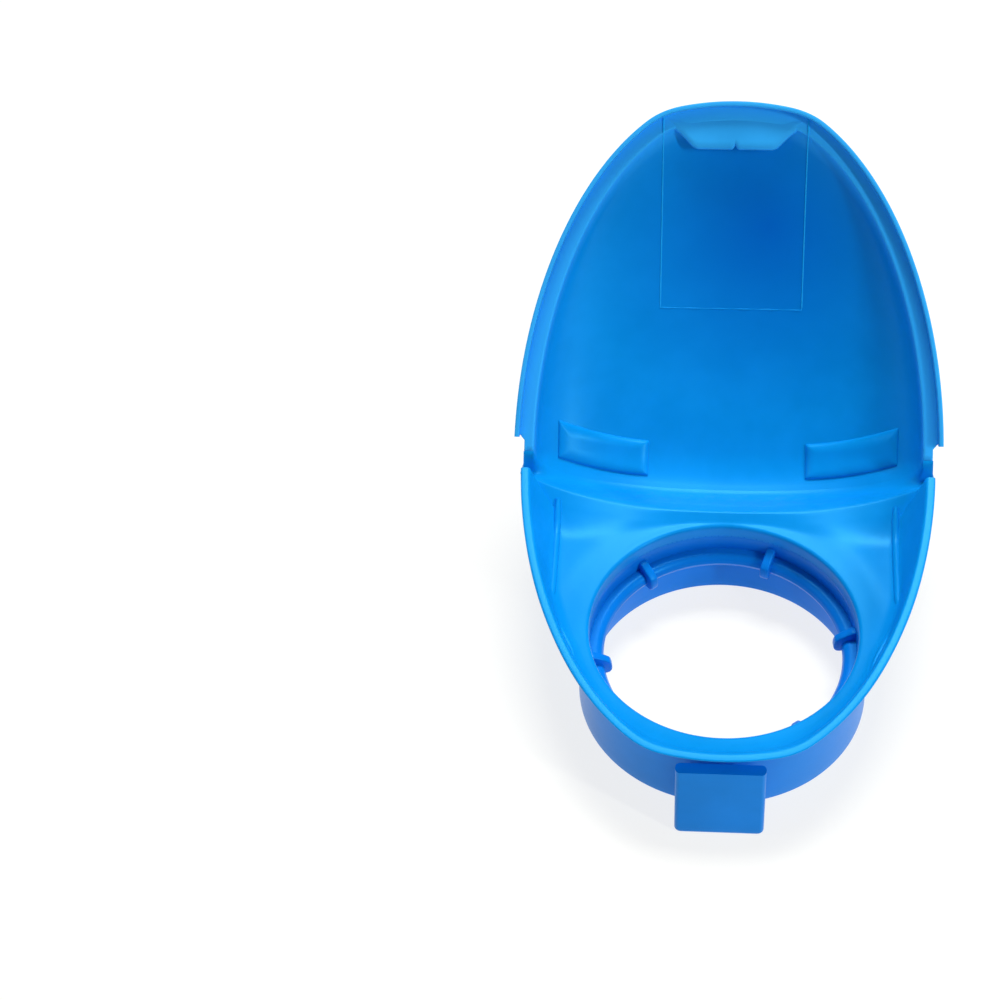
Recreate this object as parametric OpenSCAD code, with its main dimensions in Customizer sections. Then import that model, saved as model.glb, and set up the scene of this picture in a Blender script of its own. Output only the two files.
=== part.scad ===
/* [Neck collar] */
// Inner radius of the collar that pushes onto the filler neck
collar_r = 33.4; // [32:0.1:35]
// Wall of the collar
collar_wall = 2.4; // [2:0.1:3]
// Height of the collar below the scoop
collar_h = 20; // [18:0.5:22]
// Inner radius of the retaining bead
bead_r = 29.6; // [28.5:0.1:30.5]
// Height of the retaining bead's middle
bead_z = 13.5; // [11:0.5:15]
// Height of the retaining bead's section
bead_h = 4; // [3:0.1:5]
// Inner end of the grip lugs, from the collar's axis
lug_r = 27.6; // [26.5:0.1:28]
// Width of a grip lug
lug_w = 2.2; // [1.8:0.1:3]
// Turn of the first grip lug from the right-hand side
lug_start = 9; // [0:1:30]

/* [Front tab] */
// Width of the front tab
tab_w = 21.5; // [18:0.5:24]
// Thickness of the front tab
tab_t = 3; // [2.5:0.1:3.5]
// How far the front of the tab leans out at its foot
tab_flare = 6; // [0:1:8]

/* [Base scoop] */
// Distance of the ear hinge axis behind the collar's axis
ear_y = 44; // [42:0.5:46]
// Height of the ear hinge axis
ear_z = 38.5; // [36:0.5:40]
// Fall of the base rim towards the front
rim_slope = 8.6; // [6:0.2:10]
// Height of the hole's upper edge
hole_z = 23.8; // [23:0.1:25]
// Wall of the scoop
wall = 2.2; // [1.8:0.1:2.6]
// Width of the base rim's top
rim_w = 2.4; // [2:0.1:3]
// Distance of the side walls' foot from the middle, behind the hole
foot_x = 42.4; // [42:0.2:44]
// Distance of the foot from the collar's axis at the front
foot_front = 37.8; // [37:0.1:39]
// Rise of the floor from the hole to the foot
floor_rise = 1.2; // [0.8:0.1:2]
// Reach of the fold ridge from the ear axis at the middle
ridge_r = 15; // [14:0.5:16]
// Direction of the fold ridge from the ear axis
ridge_ang = 240.5; // [236:0.5:244]

/* [Lid] */
// Half width of the lid at the ears
lid_w = 53.8; // [52:0.1:56]
// Length scale of the lid's outline from the ear axis
lid_l = 91.5; // [88:0.5:94]
// Distance from the ear axis to the blunt tip
lid_tip = 88.4; // [86:0.2:90]
// Direction of the open lid above the horizontal
lid_lean = 46; // [40:1:52]
// Depth of the lid's bowl at its rear
bowl_rear = 20.4; // [18:0.2:22]
// Loss of depth from the rear to the tip
bowl_fall = 11; // [8:0.5:16]
// Squareness of the lid's cross-section
bowl_n = 2.2; // [1.8:0.1:3]
// Width of the rim face inside the skirt
step_w = 5; // [4:0.1:6]
// Depth of the skirt below the rim face
skirt_h = 2.6; // [2:0.1:3.2]
// Thickness of the skirt
skirt_t = 1.2; // [1:0.1:1.4]

/* [Hidden] */
$fn = 96;

blue = [0.02, 0.5, 0.88];       // body colour of the moulding
deep = [0.01, 0.4, 0.78];       // the pieces inside the neck
pale = [0.12, 0.6, 0.95];       // the raised marks
lug_count = 6;                  // grip lugs round the bead
throat_r = collar_r - 0.4;      // inner radius of the collar above the bead
bead_low = bead_z - bead_h/2;   // where the neck's bore ends
fit_gap = 0.4;                  // between the base rim and the lid's skirt
base_d = skirt_t + fit_gap;     // inset of the base rim from the lid's outline
rim_gap = 0.3;                  // between the base rim's top and the lid's step
outline_p = 1.95;               // power of the rim outline
tip_curve = 0.0075;             // curvature of the blunt tip
ear_gap = 5.2;                  // where the rims start, in front of the ear axis
lip_u = lid_tip - 12;           // free edge of the latch lip
crest_ang = 123;                // from the lid's rim plane to its rear edge
ear_notch = 2.4;                // how far the lid is cut back beside the ears
raise = 0.45;                   // how far the marks stand out
root = 0.4;                     // how deep the marks are rooted in the shell
loop_n = 36;                    // steps along half of a rim outline
rear_n = 24;                    // steps along a rear edge

function smooth(v) = let (k = min(max(v, 0), 1)) k*k*(3 - 2*k);
// Frames: rim() turns a point of the base's rim plane, lid() one of the open lid's
function rim(x, s, h) = [x, ear_y - s*cos(rim_slope) - h*sin(rim_slope),
    ear_z - s*sin(rim_slope) + h*cos(rim_slope)];
function lid(x, u, w) = [x, ear_y + u*cos(lid_lean) + w*sin(lid_lean),
    ear_z + u*sin(lid_lean) - w*cos(lid_lean)];

// The rim outline, inset by d: half width at distance s, and its point at turn t (0 to 180)
function tip_at(x, d) = lid_tip - d - tip_curve*x*x;
function outline(t, d) =
    let (x = (lid_w - d)*cos(t), s = (lid_l - d)*pow(max(sin(t), 0), 2/outline_p))
    [x, min(s, tip_at(x, d))];
function turn_at(s, d) = asin(pow(s/(lid_l - d), outline_p/2));
function rim_turns(d, s0) = let (a = turn_at(s0, d))
    [for (i = [0:2*loop_n]) a + (180 - 2*a)*i/(2*loop_n)];

// Depth of the lid's bowl, inset by d and c thinner, below the rim plane. Behind the ear axis the
// bowl turns round that axis
function panel_w(u) = bowl_rear - bowl_fall*pow(u/lid_tip, 1.8);
function span(x, u, d) = sqrt(pow(abs(x)/(lid_w - d), 2) + pow(u/(lid_l - d), outline_p));
function dome(x, u, d = 0, c = 0) =
    let (ahead = max(u, 0),
        hump = pow(max(1 - pow(min(span(x, ahead, d), 1), bowl_n), 0), 1/bowl_n),
        reach = rim_gap + (panel_w(ahead) - c - rim_gap)*hump)
    u < 0 ? sqrt(max(reach*reach - u*u, 0)) : reach;
function rear_u(x, d, c) = dome(x, 0, d, c)*cos(crest_ang);

// The outline cut back beside the ears
function lid_edge(t, d) = let (p = outline(t, d), cut = max(ear_notch - d, 0)
    *smooth((ear_gap - 0.4 - p[1])/1.6)) [p[0] - sign(p[0])*cut, p[1]];
// Closed loop of plan points (x, u) round the lid, inset by d
function lid_loop(d, c) = concat(
    [for (t = rim_turns(d, 0)) lid_edge(t, d)],
    [for (i = [1:rear_n - 1]) let (x = -(lid_w - max(d, ear_notch))*cos(180*i/rear_n))
        [x, rear_u(x, d, c)]]);

function flip(f) = [for (i = [len(f) - 1:-1:0]) f[i]];
// Faces of a skin of closed rings, m rings of n points each, first ring outermost
function ring_faces(n, m, start = 0) = [for (j = [0:m - 2], i = [0:n - 1])
    let (a = start + j*n + i, b = start + j*n + (i + 1)%n)
    each [[a, b, b + n], [a, b + n, a + n]]];

// Lid shell: outer and inner bowls, joined along the rim face and the rear edge
module lid_shell() {
    centre = [0, 30];
    steps = [1, 0.985, 0.955, 0.91, 0.84, 0.72, 0.55, 0.35, 0.16];
    function bowl(d, c, order) = let (edge = lid_loop(d, c))
        [for (g = order, p = edge) let (q = centre + (p - centre)*g)
            lid(q[0], q[1], g == 1 && p[1] >= 0 ? rim_gap : dome(q[0], q[1], d, c))];
    outside = bowl(0, 0, flip(steps));
    inside = bowl(step_w, wall, steps);
    n = len(lid_loop(0, 0));
    m = len(steps);
    tips = [lid(0, 30, dome(0, 30)), lid(0, 30, dome(0, 30, step_w, wall))];
    last = 2*m*n;
    caps = [for (i = [0:n - 1]) let (k = (i + 1)%n)
        each [[last, k, i], [last + 1, (2*m - 1)*n + i, (2*m - 1)*n + k]]];
    color(blue) polyhedron(concat(outside, inside, tips),
        concat([for (f = ring_faces(n, 2*m)) flip(f)], [for (f = caps) flip(f)]));
}

// A band between two insets of an outline, given as a frame function's points
module strip(pts, n) {
    // pts: 4 corners of the section, point by point along the strip
    sides = [for (i = [0:n - 2], k = [0:3]) let (a = 4*i + k, b = 4*i + (k + 1)%4)
        each [[a, b, b + 4], [a, b + 4, a + 4]]];
    polyhedron(pts, concat(sides, [[3, 2, 1], [3, 1, 0]],
        [[4*n - 4, 4*n - 3, 4*n - 2], [4*n - 4, 4*n - 2, 4*n - 1]]));
}

module lid_skirt() {
    outer = rim_turns(0, 3.6);
    pts = [for (i = [0:len(outer) - 1])
        let (p = outline(outer[i], 0), q = outline(outer[i], skirt_t))
        each [lid(p[0], p[1], rim_gap), lid(q[0], q[1], rim_gap),
            lid(q[0], q[1], -skirt_h), lid(p[0], p[1], -skirt_h)]];
    color(blue) strip(pts, len(outer));
}

// Puts flat work drawn in (x, u) at depth w of the lid, rising outwards
module on_lid(w, tilt = 0, u = 0)
    translate(lid(0, u, w)) rotate([lid_lean + 180 + tilt, 0, 0]) mirror([0, 1, 0]) children();

module latch_lip() {
    lip_t = 1.3;
    corner = 1.6;
    tongue = [[17.4, lip_u + 7.8], [17.4, lip_u + 6.8], [15.4, lip_u + 5.1], [14, lip_u + 4.1]];
    half = concat(tongue, [for (a = [0:15:90]) [10.6 - corner*sin(a), lip_u + 1.4*(1 - sin(a))]]);
    color(blue) on_lid(rim_gap + 0.1) linear_extrude(lip_t)
        polygon(concat(half, [for (p = flip(half)) [-p[0], p[1]]]));
}

// Snap pads: slabs that follow the bowl's floor beside the fold
module snap_pad(side) {
    nx = 8;
    nu = 4;
    pad_x = [20.3, 43];
    pad_l = 9;
    function at(i, j, lift) = let (x = pad_x[0] + (pad_x[1] - pad_x[0])*i/nx, out = x - pad_x[0],
        u = -2.1 + 0.05*out + 0.0068*out*out + pad_l*(j/nu - 0.5))
        lid(side*x, u, dome(x, u, step_w, wall) - lift);
    pts = [for (lift = [-root, 1.4], i = [0:nx], j = [0:nu]) at(i, j, lift)];
    w = nu + 1;
    b = (nx + 1)*w;
    top = [for (i = [0:nx - 1], j = [0:nu - 1]) let (a = i*w + j)
        each [[a, a + 1, a + w + 1], [a, a + w + 1, a + w]]];
    edge = concat([for (j = [0:nu - 1]) j], [for (i = [0:nx - 1]) i*w + nu],
        [for (j = [nu:-1:1]) nx*w + j], [for (i = [nx:-1:1]) i*w]);
    rim_faces = [for (k = [0:len(edge) - 1]) let (p = edge[k], q = edge[(k + 1)%len(edge)])
        each [[p, p + b, q + b], [p, q + b, q]]];
    faces = concat(top, [for (f = top) flip([for (v = f) v + b])], rim_faces);
    color(blue) polyhedron(pts, side > 0 ? faces : [for (f = faces) flip(f)]);
}
module snap_pad_left() { snap_pad(-1); }
module snap_pad_right() { snap_pad(1); }

// A round bar of radius r along the lid's outer face, through plan points
module lid_bar(path, r, sides = 8) {
    n = len(path);
    at = [for (p = path) lid(p[0], p[1], dome(p[0], p[1]))];
    up = lid(0, 0, 1) - lid(0, 0, 0);
    pts = [for (i = [0:n - 1])
        let (d = at[(i + 1)%n] - at[(i + n - 1)%n], dir = d/norm(d),
            side = cross(dir, up), s = side/norm(side), v = cross(s, dir))
        each [for (k = [0:sides - 1]) at[i] + r*(cos(360*k/sides)*s + sin(360*k/sides)*v)]];
    polyhedron(pts, [for (i = [0:n - 1], k = [0:sides - 1])
        let (a = i*sides + k, b = i*sides + (k + 1)%sides,
            c = ((i + 1)%n)*sides + k, d = ((i + 1)%n)*sides + (k + 1)%sides)
        each [[a, c, b], [b, c, d]]]);
}

// The raised line round the closed lid's top panel: a rounded D
function panel_line(a) = let (c = cos(a), s = sin(a))
    [(s > 0 ? 44 - 3*s : 44)*sign(c)*pow(abs(c), 0.85 + 0.25*max(s, 0)),
        s > 0 ? 22 + 51*pow(s, 1.05) : 22 - 28*pow(-s, 0.62)];
module panel_bead() {
    color(pale) lid_bar([for (a = [0:5:355]) panel_line(a)], 0.7);
}

// Flat marks are drawn in (x, u), and stand on the panel's slope at distance u
function fall(u, reach) = atan((dome(0, u - reach) - dome(0, u + reach))/(2*reach));
module mark(u, reach) on_lid((dome(0, u - reach) + dome(0, u + reach))/2 - root/2, fall(u, reach), u)
    linear_extrude(root + raise) translate([0, -u]) children();
module bar2d(p, q, w) {
    d = q - p;
    translate(p) rotate(atan2(d[1], d[0])) translate([0, -w/2]) square([norm(d), w]);
}
function arc2d(x, u_end, u_mid, n = 12) = [for (i = [0:n])
    let (k = -1 + 2*i/n) [k*x, u_end + (u_mid - u_end)*(1 - k*k)]];
module washer_symbol() {
    dash = [1.5, 3];
    sprays = [[10.1, 31, 12], [7.4, 26.4, -32], [2.9, 26.3, 28]];
    screen = concat(arc2d(15.2, 43.7, 34.6), flip(arc2d(7.5, 62, 55.8)));
    pane = concat(arc2d(12.7, 44, 37.4), flip([for (i = [0:24])
        let (k = -1 + i/12) [k*10, 51.6 - 1.2*pow(abs(cos(i*30)), 4)]]));
    color(pale) mark(46, 12) {
        difference() { polygon(screen); polygon(pane); }
        for (u = [40.6, 47]) translate([0, u]) square(dash, center = true);
        translate([0, 62.4]) square(dash, center = true);
        translate([0, 30.3]) square(dash, center = true);
        for (s = [-1, 1], p = sprays)
            translate([s*p[0], p[1]]) rotate(s*p[2]) square([1.7, 2.6], center = true);
    }
}
module fill_symbol() {
    dots = [[3.1, 3.1], [4.1, 7.1], [7.1, 4.4], [5.9, 0.6]];
    color(pale) mark(2, 5) {
        bar2d([-10, -5], [0, 2.6], 0.5);
        bar2d([10, -5], [0, 2.6], 0.5);
        for (u = [5.3, 8.3]) translate([0, u]) circle(1.05);
        for (s = [-1, 1], p = dots) translate([s*p[0], p[1]]) circle(1.05);
    }
}
module open_arrow() {
    color(pale) mark(80, 4.5) polygon([[0, 74], [10, 85.2], [-10, 85.2]]);
}

// Base scoop: a loft of closed sections between the hole and the rim or ridge
function ridge(x, grow = 0) = let (r = (ridge_r + grow)*sqrt(1 - 0.93*pow(x/lid_w, 2)))
    [x, ear_y + r*cos(ridge_ang), ear_z + r*sin(ridge_ang)];
function scoop_edge(d) = concat(
    [for (t = rim_turns(d, ear_gap)) let (p = outline(t, d)) rim(p[0], p[1], 0)],
    [for (i = [1:rear_n - 1]) ridge(-(lid_w - d - 0.4)*cos(180*i/rear_n))]);
// The side walls' foot: its distance from the collar's axis in direction a, behind +X positive
function foot_r(a) = let (b = asin(sin(a))) b > 12 ? min(foot_x/cos(b), 60)
    : foot_front + (foot_x/cos(12) - foot_front)*smooth((b + 16)/28);
// The foot's share of the way from the hole to edge point p, and the inner face's height there
function foot_at(p) = let (l = norm([p[0], p[1]]))
    (min(foot_r(atan2(p[1], abs(p[0]))), 0.25*collar_r + 0.75*l) - collar_r)/(l - collar_r);
// The floor's height, which swells up to the fold ridge behind the hole
function floor_at(x, y) =
    let (top = ridge(min(max(x, -51.9), 51.9)),
        low = hole_z + floor_rise*smooth((norm([x, y]) - throat_r)/9),
        reach = 3.2 + 9.5*smooth((abs(x) - 6)/34),
        t = min(max(1 + (y - top[1])/reach, 0), 1.15))
    low + (top[2] - low)*(0.55*t*t + 0.45*smooth(t));
// A point of the inner face: k from 0 to 1 crosses the floor, and from 1 to 2 climbs the wall
function scoop_at(p, k, r, lower) =
    let (l = norm([p[0], p[1]]), f = foot_at(p), g = k < 1 ? f*k : f + (1 - f)*(k - 1),
        q = (r + (l - r)*g)/l, step = p[2] - floor_at(p[0], p[1]))
    [p[0]*q, p[1]*q, floor_at(p[0]*q, p[1]*q) + step*pow(max(k - 1, 0), 1.25) - lower];
function on_circle(p, r, z) = let (l = norm([p[0], p[1]])) [p[0]*r/l, p[1]*r/l, z];
module base_scoop() {
    edge_out = scoop_edge(base_d);
    edge_in = scoop_edge(base_d + rim_w);
    n = len(edge_out);
    outer_r = collar_r + collar_wall;
    // the ridge at the back has no rim face: its edge leans back by the wall instead
    back = [for (i = [0:n - 1]) i > 2*loop_n ? wall : 0];
    rim_out = [for (i = [0:n - 1]) edge_out[i] + [0, back[i], 0]];
    rim_in = [for (i = [0:n - 1]) back[i] > 0 ? edge_out[i] : edge_in[i]];
    rings = concat(
        [[for (p = edge_out) on_circle(p, outer_r, collar_h)]],
        [for (k = [0.6, 1, 1.4, 1.8]) [for (p = rim_out) scoop_at(p, k, outer_r, wall)]],
        [[for (p = rim_out) p - [0, 0, 1.6]]],
        [[for (i = [0:n - 1]) rim_out[i] - [0, 0.2, 0.3]*back[i]]],
        [rim_in],
        [for (k = [1.8, 1.6, 1.4, 1.2, 1, 0.75, 0.4]) [for (p = rim_in) scoop_at(p, k, throat_r, 0)]],
        [[for (p = edge_in) on_circle(p, throat_r, hole_z - 0.6)]],
        [[for (p = edge_in) on_circle(p, throat_r, collar_h)]]);
    m = len(rings);
    color(blue) polyhedron([for (r = rings) each r],
        [for (j = [0:m - 1], i = [0:n - 1])
            let (a = j*n + i, b = j*n + (i + 1)%n, c = ((j + 1)%m)*n + i,
                e = ((j + 1)%m)*n + (i + 1)%n)
            each [[a, e, b], [a, c, e]]]);
}

// Low rounded ribs along the foot of the scoop's side walls
module floor_rib(side) {
    n = 20;
    sides = 6;
    rib_r = 1.1;
    function at(a) = let (r = foot_r(a)) [side*r*cos(a), r*sin(a), floor_at(r*cos(a), r*sin(a)) + 0.2];
    pts = [for (i = [0:n]) let (a = 40 - 73*i/n, p = at(a), q = at(a - 1), d = q - p,
            s = cross(d, [0, 0, 1])/norm(d), r = rib_r*sin(20 + 140*i/n))
        each [for (k = [0:sides - 1]) p + r*cos(360*k/sides)*s + [0, 0, r*sin(360*k/sides)]]];
    skin = [for (i = [0:n - 1], k = [0:sides - 1])
        let (a = i*sides + k, b = i*sides + (k + 1)%sides)
        each [[a, a + sides, b], [b, a + sides, b + sides]]];
    ends = [for (k = [1:sides - 2]) each [[0, k, k + 1], [n*sides, n*sides + k + 1, n*sides + k]]];
    faces = concat(skin, ends);
    color(blue) polyhedron(pts, side > 0 ? faces : [for (f = faces) flip(f)]);
}
module floor_rib_left() { floor_rib(-1); }
module floor_rib_right() { floor_rib(1); }

// Thin web that folds between the ridge and the lid's rear edge
module hinge_web() {
    nx = 24;
    nv = 6;
    web_t = 1.2;
    side_x = lid_w - step_w - 1;
    function at(i, j, lift) =
        let (x = -side_x*cos(180*i/nx), v = j/nv, a = ridge(x),
            u = rear_u(x, step_w, wall), b = lid(x, u, dome(x, u, step_w, wall)),
            p = [a[1] + wall + 0.9 - ear_y, a[2] - ear_z], q = [b[1] - ear_y, b[2] - ear_z],
            ra = norm(p), rb = norm(q), aa = 360 + atan2(p[1], p[0]), ab = 358.5 + atan2(q[1], q[0]),
            r = ra + (rb - ra)*v*v*(3 - 2*v) + lift, ang = aa + (ab - aa)*v)
        [x, ear_y + r*cos(ang), ear_z + r*sin(ang)];
    w = nv + 1;
    b = (nx + 1)*w;
    top = [for (i = [0:nx - 1], j = [0:nv - 1]) let (a = i*w + j)
        each [[a, a + 1, a + w + 1], [a, a + w + 1, a + w]]];
    edge = concat([for (j = [0:nv - 1]) j], [for (i = [0:nx - 1]) i*w + nv],
        [for (j = [nv:-1:1]) nx*w + j], [for (i = [nx:-1:1]) i*w]);
    side_faces = [for (k = [0:len(edge) - 1]) let (p = edge[k], q = edge[(k + 1)%len(edge)])
        each [[p, p + b, q + b], [p, q + b, q]]];
    color(blue) polyhedron([for (lift = [0, web_t], i = [0:nx], j = [0:nv]) at(i, j, lift)],
        concat(top, [for (f = top) flip([for (v = f) v + b])], side_faces));
}

// The neck's bore ends at the bead, and is a little narrower above it
module neck_collar() {
    chamfer = 0.5;
    outer_r = collar_r + collar_wall;
    color(blue) rotate_extrude() polygon([[collar_r, 0], [outer_r - chamfer, 0], [outer_r, chamfer],
        [outer_r, collar_h], [throat_r, collar_h], [throat_r, bead_low], [collar_r, bead_low]]);
}
module bead_section() {
    nose = bead_h/2;
    intersection() {
        union() {
            translate([bead_r + nose, bead_z]) circle(nose);
            translate([bead_r + nose, bead_low]) square([nose, bead_h]);
        }
        translate([0, bead_low]) square([throat_r, bead_h]);
    }
}
module retaining_bead() {
    color(deep) rotate_extrude() bead_section();
}
// A lug is a small plate across the bead, over it and inside it
module grip_lug(k) {
    high = bead_z + bead_h/2 + 2.6;
    color(deep) rotate(lug_start + 360*k/lug_count) difference() {
        translate([lug_r, -lug_w/2, bead_low]) cube([throat_r - lug_r - 0.05, lug_w, high - bead_low]);
        rotate_extrude() bead_section();
    }
}
module grip_lug_1() { grip_lug(0); }
module grip_lug_2() { grip_lug(1); }
module grip_lug_3() { grip_lug(2); }
module grip_lug_4() { grip_lug(3); }
module grip_lug_5() { grip_lug(4); }
module grip_lug_6() { grip_lug(5); }

module front_tab() {
    corner = 1.2;
    top_z = 21.2;
    foot_y = -44.4;
    color(blue) intersection() {
        translate([0, foot_y, 0]) rotate([-tab_flare, 0, 0]) translate([0, tab_t/2, -5])
            linear_extrude(40) union() {
                square([tab_w - 2*corner, tab_t], center = true);
                square([tab_w, tab_t - 2*corner], center = true);
                for (sx = [-1, 1], sy = [-1, 1])
                    translate([sx*(tab_w/2 - corner), sy*(tab_t/2 - corner)]) circle(corner);
            }
        translate([-tab_w, -60, 0]) cube([2*tab_w, 40, top_z]);
    }
}

neck_collar();
base_scoop();
retaining_bead();
grip_lug_1();
grip_lug_2();
grip_lug_3();
grip_lug_4();
grip_lug_5();
grip_lug_6();
front_tab();
floor_rib_left();
floor_rib_right();
hinge_web();
lid_shell();
lid_skirt();
latch_lip();
snap_pad_left();
snap_pad_right();
panel_bead();
washer_symbol();
fill_symbol();
open_arrow();
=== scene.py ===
"""Filler cap with a fold-out funnel: builds every moulded piece, its finish and the studio."""

import math

import bmesh
import bpy
import numpy as np
from bpy.props import FloatProperty, FloatVectorProperty, IntProperty, PointerProperty
from mathutils import Matrix, Vector


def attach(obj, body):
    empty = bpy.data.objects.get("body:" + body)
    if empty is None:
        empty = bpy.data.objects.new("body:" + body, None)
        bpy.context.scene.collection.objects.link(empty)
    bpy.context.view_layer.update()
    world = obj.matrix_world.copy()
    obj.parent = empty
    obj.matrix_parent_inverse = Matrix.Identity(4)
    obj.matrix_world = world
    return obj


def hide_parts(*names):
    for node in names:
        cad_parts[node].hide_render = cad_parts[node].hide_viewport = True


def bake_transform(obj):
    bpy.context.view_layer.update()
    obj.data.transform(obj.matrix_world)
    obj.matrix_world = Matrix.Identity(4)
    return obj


bl_info = {
    "name": "Fold-out Filler Cap",
    "version": (1, 0, 0),
    "blender": (4, 5, 0),
    "location": "View3D > Sidebar > Filler Cap",
    "description": "Builds a soft filler cap whose lid folds out into a funnel",
    "category": "Add Mesh",
}

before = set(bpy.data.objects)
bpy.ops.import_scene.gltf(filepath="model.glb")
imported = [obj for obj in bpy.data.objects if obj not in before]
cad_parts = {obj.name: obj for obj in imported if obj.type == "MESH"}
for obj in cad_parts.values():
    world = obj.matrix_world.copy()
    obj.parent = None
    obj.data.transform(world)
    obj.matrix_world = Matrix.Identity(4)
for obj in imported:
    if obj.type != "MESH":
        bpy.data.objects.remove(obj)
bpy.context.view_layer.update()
MM = 0.001


# ---------------------------------------------------------------- settings


def length(name, default, description, low=0.0, high=200.0):
    return FloatProperty(name=name, description=description, default=default, min=low, max=high)


class CapSizes(bpy.types.PropertyGroup):
    """Sizes in millimetres. The heights and distances are from the neck's mouth."""

    collar_r: length("Collar radius", 33.4, "Inner radius of the collar that grips the neck")
    collar_wall: length("Collar wall", 2.4, "Wall of the collar")
    collar_h: length("Collar height", 20.0, "Height of the collar")
    throat_r: length("Throat radius", 33.0, "Inner radius above the bead")
    bead_r: length("Bead radius", 29.6, "Inner radius of the retaining bead")
    bead_z: length("Bead height", 13.5, "Height of the bead's middle")
    bead_h: length("Bead section", 4.0, "Height of the bead's section")
    lug_r: length("Lug reach", 27.6, "Inner end of the grip lugs")
    lug_w: length("Lug width", 2.2, "Width of a grip lug")
    lug_start: length("Lug start", 9.0, "Turn of the first grip lug, in degrees", 0.0, 60.0)
    lug_count: IntProperty(name="Lugs", description="Grip lugs round the bead", default=6, min=3, max=12)
    tab_w: length("Tab width", 21.5, "Width of the front tab")
    tab_t: length("Tab thickness", 3.0, "Thickness of the front tab")
    tab_flare: length("Tab lean", 6.0, "How far the tab leans out at its foot, in degrees")
    ear_y: length("Ear distance", 44.0, "Ear hinge axis behind the collar's axis")
    ear_z: length("Ear height", 38.5, "Height of the ear hinge axis")
    rim_slope: length("Rim slope", 8.6, "Fall of the base rim towards the front, in degrees")
    hole_z: length("Hole height", 23.8, "Height of the hole's upper edge")
    wall: length("Wall", 2.2, "Wall of the scoop and the lid")
    rim_w: length("Rim width", 2.4, "Width of the base rim's top")
    foot_x: length("Foot width", 42.4, "Half width of the floor behind the hole")
    foot_front: length("Foot front", 37.8, "Foot's distance from the axis at the front")
    floor_rise: length("Floor rise", 1.2, "Rise of the floor from the hole to the foot")
    ridge_r: length("Ridge reach", 15.0, "Fold ridge's distance from the ear axis")
    ridge_ang: length("Ridge direction", 240.5, "Direction of the fold ridge, in degrees", 180.0, 300.0)
    lid_w: length("Lid half width", 53.8, "Half width of the lid at the ears")
    lid_l: length("Lid length", 91.5, "Length scale of the lid's outline")
    lid_tip: length("Lid tip", 88.4, "Distance from the ear axis to the blunt tip")
    lid_lean: length("Lid lean", 46.0, "Open lid above the horizontal, in degrees")
    bowl_rear: length("Bowl depth", 20.4, "Depth of the lid's bowl at its rear")
    bowl_fall: length("Bowl fall", 11.0, "Loss of depth from the rear to the tip")
    bowl_n: length("Bowl squareness", 2.2, "Squareness of the bowl's cross-section")
    step_w: length("Step width", 5.0, "Width of the rim face inside the skirt")
    skirt_h: length("Skirt height", 2.6, "Height of the skirt over the rim face")
    skirt_t: length("Skirt thickness", 1.2, "Thickness of the skirt")
    web_t: length("Web thickness", 1.2, "Thickness of the folding web")


def colour(name, value, description):
    return FloatVectorProperty(name=name, description=description, default=value, subtype="COLOR",
                               size=3, min=0.0, max=1.0)


class CapFinish(bpy.types.PropertyGroup):
    """Colours and surface of the moulding."""

    body: colour("Moulding", (0.0, 0.305, 0.83), "Colour of the soft blue moulding")
    thick: colour("Thick sections", (0.0, 0.22, 0.78), "Colour where the moulding is thick")
    # edge is a painted glow: a lighter blue standing in for light shining through the thin rims and the
    # latch lip
    edge: colour("Edges", (0.03, 0.41, 0.97), "Colour of the thin rims and the latch lip")
    mark: colour("Raised marks", (0.01, 0.44, 0.95), "Colour of the raised marks")
    roughness: FloatProperty(name="Roughness", description="Roughness of the satin skin",
                             default=0.33, min=0.0, max=1.0, subtype="FACTOR")
    grain: length("Grain depth", 0.012, "Height of the fine moulded grain, in millimetres", 0.0, 1.0)


def place(name, value, description):
    return FloatVectorProperty(name=name, description=description, default=value, subtype="TRANSLATION",
                               unit="LENGTH", size=3)


class StudioSettings(bpy.types.PropertyGroup):
    """Camera and light."""

    camera_at: place("Camera", (-0.00568, -0.40782, 0.52933), "Place of the camera")
    aim_at: place("Aim", (-0.05571, 0.02194, 0.04424), "Point at the middle of the view")
    roll: FloatProperty(name="Roll", description="Turn of the camera about its view",
                        default=math.radians(-3.5), subtype="ANGLE", unit="ROTATION")
    lens: FloatProperty(name="Lens", description="Focal length", default=94.9, min=20.0, max=300.0,
                        subtype="DISTANCE_CAMERA")
    floor: colour("Floor", (0.20, 0.20, 0.17), "Colour of the pale floor")


# ---------------------------------------------------------------- the moulding's surfaces


def smooth(v):
    """Eases from 0 to 1 while v runs from 0 to 1."""
    k = min(max(v, 0.0), 1.0)
    return k * k * (3 - 2 * k)


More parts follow.
